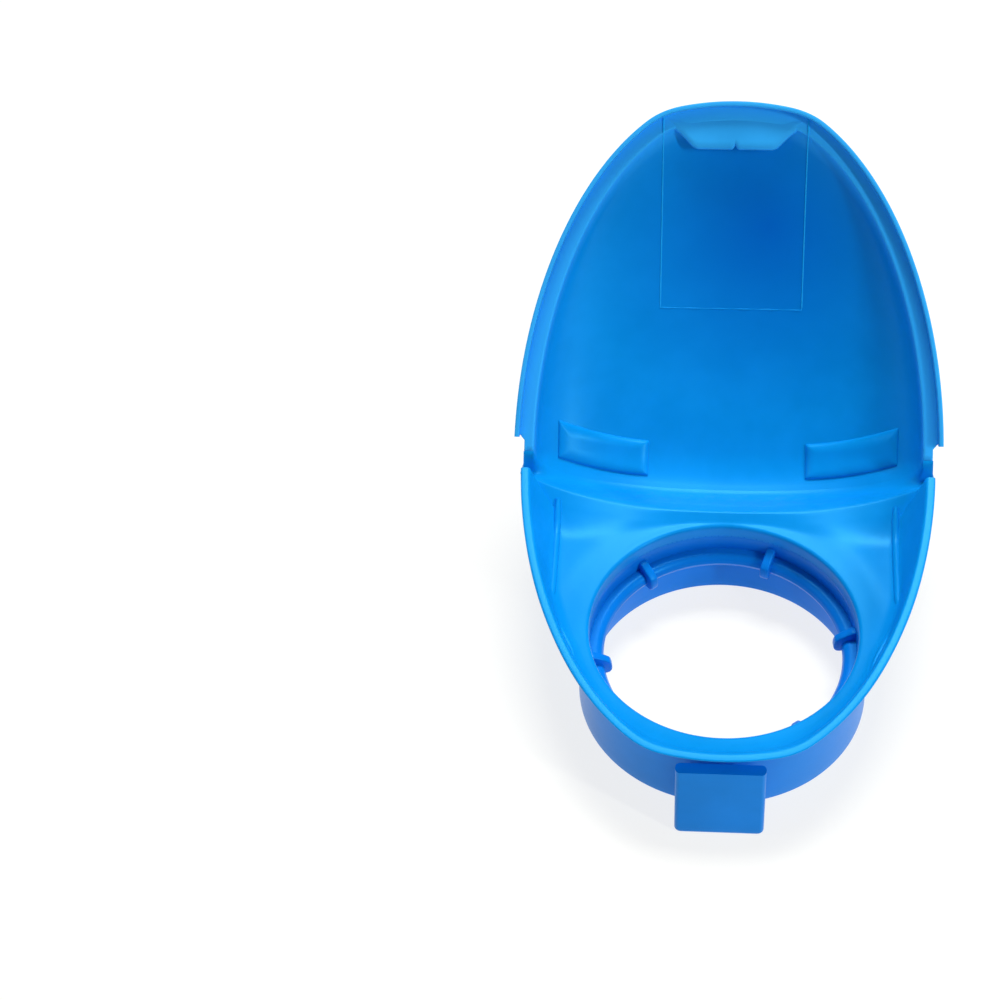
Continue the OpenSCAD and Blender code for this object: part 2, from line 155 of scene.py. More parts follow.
class Moulding:
    """The surfaces of the cap, in millimetres."""

    def __init__(self, sizes):
        for name in CapSizes.__annotations__:
            setattr(self, name, getattr(sizes, name))
        self.fit_gap, self.rim_gap = 0.4, 0.3
        self.outline_p, self.tip_curve = 1.95, 0.0075
        self.ear_gap, self.crest_ang = 5.2, math.radians(123)
        self.ear_notch = 2.4
        self.base_d = self.skirt_t + self.fit_gap
        self.lean, self.slope = math.radians(self.lid_lean), math.radians(self.rim_slope)
        self.ridge_dir = math.radians(self.ridge_ang)
        self.lip_u = self.lid_tip - 12

    def rim(self, x, s):
        """A point of the base rim's plane, s in front of the ear axis."""
        return np.array([x, self.ear_y - s * math.cos(self.slope), self.ear_z - s * math.sin(self.slope)])

    def lid(self, x, u, w):
        """A point of the lid, u along it from the ear axis and w below its rim plane."""
        c, n = math.cos(self.lean), math.sin(self.lean)
        return np.array([x, self.ear_y + u * c + w * n, self.ear_z + u * n - w * c])

    def tip_at(self, x, d):
        """The blunt tip's distance from the ear axis, d inside the outline."""
        return self.lid_tip - d - self.tip_curve * x * x

    def outline(self, t, d):
        """The plan outline shared by the lid and the base rim, drawn in by d."""
        x = (self.lid_w - d) * math.cos(t)
        s = (self.lid_l - d) * max(math.sin(t), 0.0) ** (2 / self.outline_p)
        top = self.tip_at(x, d)
        # a soft minimum rounds the corners of the blunt tip
        round_r = 1.6
        h = min(max(0.5 + 0.5 * (top - s) / round_r, 0.0), 1.0)
        return np.array([x, top * (1 - h) + s * h - round_r * h * (1 - h)])

    def lid_edge(self, t, d):
        """The lid's outline, cut back beside the ears."""
        x, u = self.outline(t, d)
        cut = max(self.ear_notch - d, 0) * smooth((self.ear_gap - 0.4 - u) / 1.6)
        return np.array([x - math.copysign(cut, x), u])

    def turns(self, d, s0, n):
        """The n + 1 angles that carry the outline from one side to the other, starting at s0."""
        a = math.asin((s0 / (self.lid_l - d)) ** (self.outline_p / 2))
        return [a + (math.pi - 2 * a) * i / n for i in range(n + 1)]

    def panel_w(self, u):
        """Depth of the bowl's middle below the rim plane."""
        return self.bowl_rear - self.bowl_fall * (u / self.lid_tip) ** 1.8

    def span(self, x, u, d):
        """0 at the middle of the ear axis and 1 on the outline."""
        return math.sqrt((x / (self.lid_w - d)) ** 2 + (u / (self.lid_l - d)) ** self.outline_p)

    def dome(self, x, u, d=0.0, c=0.0):
        """Depth below the rim plane. Behind the ear axis the bowl turns round that axis."""
        ahead = max(u, 0.0)
        hump = max(1 - min(self.span(x, ahead, d), 1) ** self.bowl_n, 0) ** (1 / self.bowl_n)
        reach = self.rim_gap + (self.panel_w(ahead) - c - self.rim_gap) * hump
        return math.sqrt(max(reach * reach - u * u, 0.0)) if u < 0 else reach

    def rear_u(self, x, d, c):
        """Where the bowl's rear edge is along the lid."""
        return self.dome(x, 0, d, c) * math.cos(self.crest_ang)

    def inside(self, x, u, lift=0.0):
        """A point on the lid's inner face, raised from it by lift."""
        return self.lid(x, u, self.dome(x, u, self.step_w, self.wall) - lift)

    def outside(self, x, u, lift=0.0):
        """A point on the lid's outer face, raised from it by lift."""
        p = self.lid(x, u, self.dome(x, u))
        a = self.lid(x + 0.2, u, self.dome(x + 0.2, u)) - self.lid(x - 0.2, u, self.dome(x - 0.2, u))
        b = self.lid(x, u + 0.2, self.dome(x, u + 0.2)) - self.lid(x, u - 0.2, self.dome(x, u - 0.2))
        n = np.cross(a, b)
        n = n / np.linalg.norm(n)
        if n[1] < 0:
            n = -n
        return p + n * lift

    def narrowing(self, x):
        """How much of the fold ridge's size in the middle is left at x."""
        return math.sqrt(max(1 - 0.93 * (x / self.lid_w) ** 2, 0.02))

    def ridge(self, x):
        r = self.ridge_r * self.narrowing(x)
        y, z = self.ear_y + r * math.cos(self.ridge_dir), self.ear_z + r * math.sin(self.ridge_dir)
        return np.array([x, y, z])

    def shoulder(self, x):
        """Where the rounded fold ridge hands over to the web."""
        return self.ridge(x) + np.array([0, 2.2, -0.9]) * self.narrowing(x)

    def floor_at(self, x, y):
        """Height of the scoop's floor, which swells up to the fold ridge behind the hole."""
        widest = 51.9
        top = self.ridge(max(min(x, widest), -widest))
        run = math.hypot(x, y) - self.throat_r
        low = self.hole_z + self.floor_rise * smooth(run / 9)
        reach = 3.2 + 9.5 * smooth((abs(x) - 6) / 34)
        t = min(max(1 + (y - top[1]) / reach, 0), 1.15)
        return low + (top[2] - low) * (0.55 * t * t + 0.45 * smooth(t))

    def foot_r(self, a):
        """Distance from the axis to the wall's foot, straight beside the hole and round at the front."""
        b = math.asin(math.sin(a))
        corner, front, farthest = math.radians(12), math.radians(-16), 60
        if b > corner:
            return min(self.foot_x / math.cos(b), farthest)
        wide = self.foot_x / math.cos(corner)
        return self.foot_front + (wide - self.foot_front) * smooth((b - front) / (corner - front))

    def scoop_at(self, p, k, r, lower):
        """A point of the scoop: k from 0 to 1 crosses the floor, and from 1 to 2 climbs the wall."""
        far = math.hypot(p[0], p[1])
        foot = min(self.foot_r(math.atan2(p[1], abs(p[0]))), 0.25 * self.collar_r + 0.75 * far)
        f = (foot - self.collar_r) / (far - self.collar_r)
        g = f * k if k < 1 else f + (1 - f) * (k - 1)
        q = r + (far - r) * g
        x, y = p[0] * q / far, p[1] * q / far
        step = p[2] - self.floor_at(p[0], p[1])
        return np.array([x, y, self.floor_at(x, y) + step * max(k - 1, 0) ** 1.25 - lower])


def on_circle(p, r, z):
    """The point above or below p's direction at a radius and a height."""
    far = math.hypot(p[0], p[1])
    return np.array([p[0] * r / far, p[1] * r / far, z])


def bend(p0, t0, p1, t1, v):
    """A point of the cubic that leaves p0 along t0 and arrives at p1 along t1."""
    v2, v3 = v * v, v * v * v
    return (2 * v3 - 3 * v2 + 1) * p0 + (v3 - 2 * v2 + v) * t0 + (3 * v2 - 2 * v3) * p1 + (v3 - v2) * t1


def section(segments, reaches, counts, steps, closed=True):
    """One cross-section: polylines joined by corners that are softened over the given reaches.

    Every section made with the same counts has the same number of points."""
    lines = [np.array(s, float) for s in segments]
    n = len(lines)
    trimmed = []
    for j, line in enumerate(lines):
        run = np.concatenate([[0], np.cumsum(np.linalg.norm(np.diff(line, axis=0), axis=1))])
        total = run[-1]
        before = reaches[j - 1] if (j or closed) else 0
        after = reaches[j] if (j < n - 1 or closed) else 0
        a, b = min(before, 0.45 * total), total - min(after, 0.45 * total)
        at = np.linspace(a, b, counts[j])
        trimmed.append(np.stack([np.interp(at, run, line[:, k]) for k in range(3)], 1))
    out = []
    for j in range(n):
        out.append(trimmed[j])
        if j < n - 1 or closed:
            p, c, q = trimmed[j][-1], lines[j][-1], trimmed[(j + 1) % n][0]
            t = (np.arange(1, steps[j] + 1) / (steps[j] + 1))[:, None]
            out.append((1 - t) ** 2 * p + 2 * t * (1 - t) * c + t ** 2 * q)
    return np.concatenate(out)


# ---------------------------------------------------------------- meshes


def linked(name, mesh, sharp):
    """An object with smooth faces, creased where they meet at more than sharp degrees."""
    mesh.polygons.foreach_set("use_smooth", [True] * len(mesh.polygons))
    mesh.set_sharp_from_angle(angle=math.radians(sharp))
    obj = bpy.data.objects.new(name, mesh)
    bpy.context.collection.objects.link(obj)
    return obj


def make_object(name, verts, faces, sharp=40.0):
    """A smooth closed mesh from points in millimetres. Its faces are turned outwards."""
    mesh = bpy.data.meshes.new(name)
    mesh.from_pydata([tuple(float(c) * MM for c in v) for v in verts], [], faces)
    bm = bmesh.new()
    bm.from_mesh(mesh)
    bmesh.ops.remove_doubles(bm, verts=bm.verts, dist=0.000004)
    bmesh.ops.dissolve_degenerate(bm, edges=bm.edges, dist=0.000002)
    bmesh.ops.recalc_face_normals(bm, faces=bm.faces)
    bm.to_mesh(mesh)
    bm.free()
    return linked(name, mesh, sharp)


def loft(name, rings, around=True, poles=None, caps=False, sharp=40.0):
    """Skins equal sections. around joins the last section to the first; poles are the two end points
    that every section runs between; caps closes the first and last section of an open run."""
    rings = np.array(rings, float)
    m, n = rings.shape[:2]
    verts = list(rings.reshape(-1, 3))
    faces = []
    for j in range(m if around else m - 1):
        a, b = j * n, ((j + 1) % m) * n
        for i in range(n - 1 if poles is not None else n):
            k = (i + 1) % n
            faces.append((a + i, a + k, b + k, b + i))
        if poles is not None:
            first, last = m * n, m * n + 1
            faces += [(first, a, b), (a + n - 1, last, b + n - 1)]
    if poles is not None:
        verts += [np.array(p, float) for p in poles]
    if caps:
        faces += [tuple(range(n)), tuple(range((m - 1) * n, m * n))]
    return make_object(name, verts, faces, sharp)


def slab(name, top, bottom):
    """A closed sheet between two grids of points of the same size."""
    top, bottom = np.array(top, float), np.array(bottom, float)
    m, n = top.shape[:2]
    verts = list(top.reshape(-1, 3)) + list(bottom.reshape(-1, 3))
    size = m * n
    faces = []
    for j in range(m - 1):
        for i in range(n - 1):
            a = j * n + i
            faces.append((a, a + 1, a + n + 1, a + n))
            a += size
            faces.append((a, a + n, a + n + 1, a + 1))
    edge = ([i for i in range(n)] + [j * n + n - 1 for j in range(1, m)]
            + [(m - 1) * n + i for i in range(n - 2, -1, -1)] + [j * n for j in range(m - 2, 0, -1)])
    for a, b in zip(edge, edge[1:] + edge[:1]):
        faces.append((a, size + a, size + b, b))
    return make_object(name, verts, faces, sharp=60.0)


def turned(name, profile, n=192):
    """A closed section of (radius, height) points turned about the neck's axis."""
    rings = []
    for i in range(n):
        a = 2 * math.pi * i / n
        rings.append([(r * math.cos(a), r * math.sin(a), z) for r, z in profile])
    return loft(name, rings)


def path_object(name, points, radii, closed=False):
    """A chain of edges for the bar tree to follow, and the bar's radius at every point."""
    mesh = bpy.data.meshes.new(name)
    n = len(points)
    edges = [(i, i + 1) for i in range(n - 1)] + ([(n - 1, 0)] if closed else [])
    mesh.from_pydata([tuple(float(c) * MM for c in p) for p in points], edges, [])
    thickness = mesh.attributes.new("bar_radius", "FLOAT", "POINT")
    thickness.data.foreach_set("value", [r * MM for r in radii])
    obj = bpy.data.objects.new(name, mesh)
    bpy.context.collection.objects.link(obj)
    return obj


# ---------------------------------------------------------------- node helpers


class Wire:
    """A node socket. Arithmetic on it adds Math nodes."""

    def __init__(self, nodes, socket):
        self.nodes, self.socket = nodes, socket

    def _math(self, operation, *values):
        return self.nodes.add("ShaderNodeMath", {"operation": operation}, *values)

    def __add__(self, other):
        return self._math("ADD", self, other)

    __radd__ = __add__

    def __mul__(self, other):
        return self._math("MULTIPLY", self, other)

    __rmul__ = __mul__

    def __sub__(self, other):
        return self._math("SUBTRACT", self, other)

    def __rsub__(self, other):
        return self._math("SUBTRACT", other, self)

    def __truediv__(self, other):
        return self._math("DIVIDE", self, other)

    def between(self, low, high):
        """0 below low and 1 above high, clamped."""
        return self.nodes.add("ShaderNodeMapRange", {"clamp": True}, self, low, high, 0.0, 1.0)


class Nodes:
    """Adds nodes to a tree."""

    def __init__(self, tree):
        self.tree = tree

    def add(self, kind, settings=None, *values, out=0, **named):
        """A node of a kind. Settings come first, then the sockets in order, by identifier or by name."""
        node = self.tree.nodes.new(kind)
        for key, value in (settings or {}).items():
            setattr(node, key, value)
        sockets = list(zip([s for s in node.inputs if s.enabled], values))
        sockets += [(next(s for s in node.inputs if key in (s.identifier, s.name) and s.enabled), v)
                    for key, v in named.items()]
        for socket, value in sockets:
            if isinstance(value, Wire):
                self.tree.links.new(value.socket, socket)
            elif value is not None:
                socket.default_value = value
        self.last = node
        outputs = [s for s in node.outputs if s.enabled]
        return Wire(self, outputs[out]) if outputs else node

    def mix(self, factor, first, second):
        """The first colour where factor is 0 and the second where it is 1."""
        return self.add("ShaderNodeMix", {"data_type": "RGBA"}, Factor_Float=factor,
                        A_Color=first, B_Color=second)

    def along(self, vector, direction):
        """How far a vector reaches along a direction."""
        return self.add("ShaderNodeVectorMath", {"operation": "DOT_PRODUCT"}, vector, tuple(direction))


def painted_bowl_shade_and_rim_glow(nodes, place, tint, base, edge):
    """Paints shade into the lid's bowl, a darker blue on the inner faces round its middle, and paints a
    glow, a lighter blue, along its thin rim.
    """
    m = moulding()
    spot_r = 50.0
    middle, up = m.inside(9, 58), m.lid(0, 0, 0) - m.lid(0, 0, 1)
    # painted shade: the inner faces round the bowl's middle turn to a darker blue
    spot_at = nodes.add("ShaderNodeMapping", None, Vector=place, Location=tuple(-middle / spot_r),
                        Scale=(1 / (spot_r * MM),) * 3)
    painted_shade_spot = nodes.add("ShaderNodeTexGradient", {"gradient_type": "SPHERICAL"}, spot_at, out=1)
    facing = nodes.add("ShaderNodeTexCoord", None, out=1)
    deep = tuple(c * k for c, k in zip(base, (1, 0.46, 0.74))) + (1,)
    tint = nodes.mix(painted_shade_spot * nodes.along(facing, up).between(0.0, 0.3), tint, deep)
    # painted glow: near the rim plane the colour turns to the lighter edge blue, for light shining through
    # the thin rim
    below = nodes.along(place, -up / MM) + float(up @ m.lid(0, 0, 0))
    return nodes.mix(1 - below.between(0.6, 3.4), tint, (*edge, 1))


def moulding_material(name, base, finish, depth=1.0, polish=0.0, paint_bowl_light=False):
    """Satin moulded plastic: fine grain, faint flow clouds and a little uneven sheen. With the bowl switch
    on it also paints shade into the lid's bowl and a glow along its rim.
    """
    material = bpy.data.materials.new(name)
    material.use_nodes = True
    tree = material.node_tree
    tree.nodes.clear()
    nodes = Nodes(tree)
    place = nodes.add("ShaderNodeTexCoord", None, out=3)
    clouds = nodes.add("ShaderNodeTexNoise", None, Vector=place, Scale=38.0, Detail=3.0, Roughness=0.55)
    streaks_at = nodes.add("ShaderNodeMapping", None, Vector=place, Scale=(60.0, 18.0, 90.0))
    streaks = nodes.add("ShaderNodeTexNoise", None, Vector=streaks_at, Scale=1.0, Detail=4.0, Roughness=0.6)
    grain = nodes.add("ShaderNodeTexNoise", None, Vector=place, Scale=2600.0, Detail=2.0, Roughness=0.6)
    waves = nodes.add("ShaderNodeTexNoise", None, Vector=place, Scale=160.0, Detail=2.0, Roughness=0.5)
    mottle = clouds.between(0.3, 0.7) * 0.6 + streaks.between(0.3, 0.7) * 0.4
    deep = tuple(c * 0.86 for c in base) + (1,)
    light = tuple(min(c * 1.07 + 0.004, 1) for c in base) + (1,)
    tint = nodes.mix(mottle, deep, light)
    # painted shade in the bowl and painted glow on the rim, for the lid shell only
    if paint_bowl_light:
        tint = painted_bowl_shade_and_rim_glow(nodes, place, tint, base, finish.edge)
    rough = finish.roughness - polish + (grain - 0.5) * 0.16 + (clouds - 0.5) * 0.10
    height = grain * (finish.grain * depth) + waves * (0.05 * depth)
    bump = nodes.add("ShaderNodeBump", None, Strength=0.55, Distance=MM, Height=height)
    shader = nodes.add("ShaderNodeBsdfPrincipled", None, **{
        "Base Color": tint, "Roughness": rough, "Normal": bump, "IOR": 1.48,
        "Specular IOR Level": 0.35, "Specular Tint": (0.10, 0.70, 1.0, 1.0)})
    nodes.add("ShaderNodeOutputMaterial", None, shader)
    return material


_finishes = {}


def finish_named(name):
    """The material for a slot. The lid shell's bowl material is its own version of soft_blue, with painted
    shade in its bowl and a painted glow along its rim; rim_blue is a lighter blue that paints the glow of
    light through the thin rims and the latch lip.
    """
    if name not in _finishes:
        f = bpy.context.scene.cap_finish
        base = {"soft_blue": f.body, "bowl_blue": f.body, "neck_blue": f.thick, "web_blue": f.body,
                "rim_blue": f.edge, "mark_blue": f.mark}[name]
        more = {"mark_blue": {"depth": 0.7, "polish": 0.03}, "bowl_blue": {"paint_bowl_light": True}}
        _finishes[name] = moulding_material(name, tuple(base), f, **more.get(name, {}))
    return _finishes[name]


def finish_piece(obj, slot, bodies, nodes=()):
    """Gives a piece its material and its place in the frame."""
    if not obj.data.materials:
        obj.data.materials.append(finish_named(slot))
    if isinstance(bodies, str):
        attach(obj, bodies)
    if nodes:
        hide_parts(*nodes)
    return obj


# ---------------------------------------------------------------- geometry node trees


def tree_with(name, inputs):
    """An empty modifier tree with a geometry input and output and the named inputs."""
    tree = bpy.data.node_groups.new(name, "GeometryNodeTree")
    tree.is_modifier = True
    tree.interface.new_socket("Geometry", in_out="INPUT", socket_type="NodeSocketGeometry")
    for label, kind in inputs:
        tree.interface.new_socket(label, in_out="INPUT", socket_type=kind)
    tree.interface.new_socket("Geometry", in_out="OUTPUT", socket_type="NodeSocketGeometry")
    return tree


def bar_tree():
    """A round bar that follows a path, as thick as the path's bar_radius says."""
    tree = tree_with("Moulded bar", [("Sides", "NodeSocketInt"), ("Finish", "NodeSocketMaterial")])
    nodes = Nodes(tree)
    nodes.add("NodeGroupInput")
    entry = nodes.last
    path, sides, finish = [Wire(nodes, entry.outputs[i]) for i in range(3)]
    curve = nodes.add("GeometryNodeMeshToCurve", None, path)
    radius = nodes.add("GeometryNodeInputNamedAttribute", {"data_type": "FLOAT"}, "bar_radius")
    ring = nodes.add("GeometryNodeCurvePrimitiveCircle", None, Resolution=sides, Radius=1.0)
    skin = nodes.add("GeometryNodeCurveToMesh", None, curve, ring, Scale=radius, **{"Fill Caps": True})
    real = nodes.add("GeometryNodeRealizeInstances", None, skin)
    done = nodes.add("GeometryNodeSetMaterial", None, real, Material=finish)
    nodes.add("NodeGroupOutput", None, done)
    return tree


def ring_tree():
    """Copies of a piece round the neck's axis."""
    tree = tree_with("Lug ring", [("Count", "NodeSocketInt"), ("Start", "NodeSocketFloat"),
                                  ("Only", "NodeSocketInt"), ("Finish", "NodeSocketMaterial")])
    nodes = Nodes(tree)
    nodes.add("NodeGroupInput")
    entry = nodes.last
    piece, count, start, only, finish = [Wire(nodes, entry.outputs[i]) for i in range(5)]
    line = nodes.add("GeometryNodeMeshLine", {"mode": "OFFSET"}, Count=count, Offset=(0, 0, 0))
    index = nodes.add("GeometryNodeInputIndex")
    turn = index * (2 * math.pi) / count + start
    angles = nodes.add("ShaderNodeCombineXYZ", None, 0.0, 0.0, turn)
    chosen = nodes.add("FunctionNodeCompare", {"data_type": "INT", "operation": "EQUAL"}, index, only)
    placed = nodes.add("GeometryNodeInstanceOnPoints", None, line, chosen, piece, Rotation=angles)
    real = nodes.add("GeometryNodeRealizeInstances", None, placed)
    done = nodes.add("GeometryNodeSetMaterial", None, real, Material=finish)
    nodes.add("NodeGroupOutput", None, done)
    return tree


def grow(obj, tree, name, sharp=45.0, **inputs):
    """Runs a node tree on obj and returns the result as a plain mesh object."""
    modifier = obj.modifiers.new("Nodes", "NODES")
    modifier.node_group = tree
    for item in tree.interface.items_tree:
        if item.in_out == "INPUT" and item.name in inputs:
            modifier[item.identifier] = inputs[item.name]
    bpy.context.view_layer.update()
    graph = bpy.context.evaluated_depsgraph_get()
    mesh = bpy.data.meshes.new_from_object(obj.evaluated_get(graph))
    mesh.name = name
    obj.modifiers.remove(modifier)
    bpy.data.objects.remove(obj)
    bm = bmesh.new()
    bm.from_mesh(mesh)
    bmesh.ops.remove_doubles(bm, verts=bm.verts, dist=0.000002)
    bmesh.ops.recalc_face_normals(bm, faces=bm.faces)
    bm.to_mesh(mesh)
    bm.free()
    return linked(name, mesh, sharp)


def moulding():
    return Moulding(bpy.context.scene.cap_sizes)


# ---------------------------------------------------------------- operators


class CAP_OT_neck(bpy.types.Operator):
    """Builds the collar that pushes onto the neck, and the bead inside it"""

    bl_idname = "cap.neck"
    bl_label = "Neck collar and bead"

    def execute(self, context):
        m = moulding()
        low = m.bead_z - m.bead_h / 2
        outer = m.collar_r + m.collar_wall

        def flat(*points):
            return [(r, 0.0, z) for r, z in points]

        # the collar runs up into the scoop's root
        high = m.collar_h + 0.4
        sides = [flat((m.collar_r, low), (m.collar_r, 0)), flat((m.collar_r, 0), (outer, 0)),
                 flat((outer, 0), (outer, high)), flat((outer, high), (m.throat_r, high)),
                 flat((m.throat_r, high), (m.throat_r, low)), flat((m.throat_r, low), (m.collar_r, low))]
        profile = section(sides, [0.35, 0.7, 0.02, 0.02, 0.1, 0.1], [6, 3, 8, 2, 6, 2], [3, 4, 1, 1, 1, 1])
        finish_piece(turned("neck_collar_skin", [(p[0], p[2]) for p in profile]),
                     "neck_blue", "base", ["neck_collar"])
        nose = m.bead_h / 2
        ring = []
        n = 27
        for i in range(n + 1):
            a = math.pi / 2 + math.pi * i / n
            # a fine parting line runs along the middle of the bead
            r = nose + 0.14 * math.exp(-((i - n / 2) / 0.8) ** 2)
            ring.append((m.bead_r + nose + r * math.cos(a), m.bead_z + r * math.sin(a)))
        ring += [(m.throat_r + 0.5, low), (m.throat_r + 0.5, low + m.bead_h)]
        finish_piece(turned("retaining_bead_skin", ring), "neck_blue", "base", ["retaining_bead"])
        return {"FINISHED"}


class CAP_OT_lugs(bpy.types.Operator):
    """Builds the grip lugs across the bead, with the lug ring tree"""

    bl_idname = "cap.lugs"
    bl_label = "Grip lugs"

    def execute(self, context):
        m = moulding()
        low, high = m.bead_z - m.bead_h / 2, m.bead_z + m.bead_h / 2 + 2.6
        tree = ring_tree()
        outline = [(m.throat_r + 0.4, high), (m.throat_r - 0.9, high), (m.lug_r + 1.7, m.bead_z + 3.1),
                   (m.lug_r + 0.4, m.bead_z + 2.1), (m.lug_r, m.bead_z + 0.6), (m.lug_r, low + 1.2),
                   (m.lug_r + 0.5, low + 0.3), (m.lug_r + 1.4, low), (m.throat_r + 0.4, low)]
        for k in range(m.lug_count):
            bm = bmesh.new()
            face = bm.faces.new([bm.verts.new((r * MM, -m.lug_w / 2 * MM, z * MM)) for r, z in outline])
            top = bmesh.ops.extrude_face_region(bm, geom=[face])["geom"]
            bmesh.ops.translate(bm, verts=[v for v in top if isinstance(v, bmesh.types.BMVert)],
                                vec=(0, m.lug_w * MM, 0))
            bmesh.ops.recalc_face_normals(bm, faces=bm.faces)
            bmesh.ops.bevel(bm, geom=bm.edges[:], offset=0.55 * MM, segments=4, profile=0.5, affect="EDGES",
                            clamp_overlap=True)
            mesh = bpy.data.meshes.new("lug")
            bm.to_mesh(mesh)
            bm.free()
            seed = bpy.data.objects.new("lug", mesh)
            bpy.context.collection.objects.link(seed)
            made = grow(seed, tree, f"grip_lug_{k + 1}_skin", Count=m.lug_count,
                        Start=math.radians(m.lug_start), Only=k, Finish=finish_named("neck_blue"))
            finish_piece(made, "neck_blue", "base", [f"grip_lug_{k + 1}"])
        return {"FINISHED"}


class CAP_OT_tab(bpy.types.Operator):
    """Builds the front tab below the rim"""

    bl_idname = "cap.tab"
    bl_label = "Front tab"

    def execute(self, context):
        m = moulding()
        top, foot_y, corner = 21.2, -44.4, 1.2
        lean = math.tan(math.radians(m.tab_flare))
        rings = []
        heights = [(0.0, 1.0), (0.08, 0.62), (0.3, 0.3), (0.62, 0.08), (1.0, 0.0)]
        heights += [(1.0 + (top - 1.0) * k / 10, 0.0) for k in range(1, 11)]
        for z, inset in heights:
            w, t = m.tab_w / 2 - inset, m.tab_t - inset * 0.9
            y0 = foot_y + z * lean + inset * 0.45
            ring = []
            for cx, cy, a0 in ((w - corner, t - corner, 0), (-w + corner, t - corner, 90),
                               (-w + corner, corner, 180), (w - corner, corner, 270)):
                for i in range(7):
                    a = math.radians(a0 + 15 * i)
                    ring.append((cx + corner * math.cos(a), y0 + cy + corner * math.sin(a), z))
            rings.append(ring)
        obj = loft("front_tab_skin", rings, around=False, caps=True)
        finish_piece(obj, "neck_blue", "base", ["front_tab"])
        return {"FINISHED"}


class CAP_OT_scoop(bpy.types.Operator):
    """Builds the lower half of the funnel, from the hole to the rim and the fold ridge"""

    bl_idname = "cap.scoop"
    bl_label = "Base scoop"

    def execute(self, context):
        m = moulding()
        outer = m.collar_r + m.collar_wall
        rows = []
        for t in m.turns(m.base_d, m.ear_gap, 200):
            p, q = m.outline(t, m.base_d), m.outline(t, m.base_d + m.rim_w)
            rows.append((m.rim(*p), m.rim(*q), 0.0))
        steps = 88
        for i in range(1, steps):
            x = -(m.lid_w - m.base_d - 0.4) * math.cos(math.pi * i / steps)
            blend = max(smooth(min(i, steps - i) / 7), 0.01)
            back = m.shoulder(x)
            rows.append((back, m.ridge(x), blend))
        rings = []
        for out, inn, ridge in rows:
            low = m.collar_h
            reach = [1.1, 2.4, 0.7 + 0.5 * ridge, 0.03 if ridge else 0.7, 1.5, 1.2, 0.02, 0.02]
            lines = [
                [on_circle(inn, m.throat_r, low), on_circle(inn, m.throat_r, m.hole_z)],
                [m.scoop_at(inn, k, m.throat_r, 0) for k in np.linspace(0, 1, 16)],
                [m.scoop_at(inn, k, m.throat_r, 0) for k in np.linspace(1, 2, 24)],
                [inn, out],
                [m.scoop_at(out, k, outer, m.wall * (2 - k)) for k in np.linspace(2, 1, 24)],
                [m.scoop_at(out, k, outer, m.wall) for k in np.linspace(1, 0, 12)],
                [on_circle(out, outer, m.hole_z - m.wall), on_circle(out, outer, low)],
                [on_circle(out, outer, low), on_circle(inn, m.throat_r, low)],
            ]
            rings.append(section(lines, reach, [4, 12, 18, 3, 16, 8, 3, 2], [5, 6, 5, 5, 4, 3, 1, 1]))
        finish_piece(loft("base_scoop_skin", rings, sharp=55.0), "soft_blue", "base", ["base_scoop"])
        return {"FINISHED"}


class CAP_OT_ribs(bpy.types.Operator):
    """Builds the soft ribs along the foot of the scoop's side walls, with the bar tree"""

    bl_idname = "cap.ribs"
    bl_label = "Floor ribs"

    def execute(self, context):
        m = moulding()
        tree = bar_tree()
        for side, name in ((-1, "left"), (1, "right")):
            points, radii = [], []
            n, rear_end, sweep = 60, 40.5, 74
            for i in range(n + 1):
                a = math.radians(rear_end - sweep * i / n)
                r = m.foot_r(a) + 0.2
                x, y = side * r * math.cos(a), r * math.sin(a)
                points.append((x, y, m.floor_at(x, y) + 0.25))
                radii.append(min(1, 0.6 + 12.0 * i / n) * smooth(2.4 * (n - i) / n + 0.12))
            path = path_object("rib path", points, radii)
            made = grow(path, tree, f"floor_rib_{name}_skin", Sides=16, Finish=finish_named("soft_blue"))
            finish_piece(made, "soft_blue", "base", [f"floor_rib_{name}"])
        return {"FINISHED"}


class CAP_OT_web(bpy.types.Operator):
    """Builds the thin web that folds between the base and the lid"""

    bl_idname = "cap.web"
    bl_label = "Hinge web"

    def execute(self, context):
        m = moulding()
        nx, nv = 120, 64
        grid = []
        for i in range(nx + 1):
            f = -math.cos(math.pi * i / nx)
            x0, x1 = f * (m.lid_w - m.base_d - 0.45), f * (m.lid_w - 2.3)
            p0 = m.shoulder(x0)
            u1 = m.rear_u(x1, m.step_w, m.wall)
            p1 = m.inside(x1, u1)
            reach = np.linalg.norm(p1 - p0)
            t0 = p0 - m.ridge(x0)
            t0 = t0 / np.linalg.norm(t0)
            t1 = m.inside(x1, u1 + 0.4) - p1
            t1 = t1 / np.linalg.norm(t1)
            t0, t1 = t0 * 1.25 * reach, t1 * 1.15 * reach
            grid.append([bend(p0, t0, p1, t1, j / nv) for j in range(nv + 1)])
        grid = np.array(grid)
        du = np.gradient(grid, axis=0)
        dv = np.gradient(grid, axis=1)
        normal = np.cross(du, dv)
        normal /= np.linalg.norm(normal, axis=2)[:, :, None] + 1e-9
        if normal[nx // 2, nv // 2, 2] < 0:
            normal = -normal
        obj = slab("hinge_web_skin", grid, grid - normal * m.web_t)
        obj.data.materials.append(finish_named("web_blue"))
        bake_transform(obj)
        finish_piece(obj, "web_blue", None, ["hinge_web"])
        return {"FINISHED"}


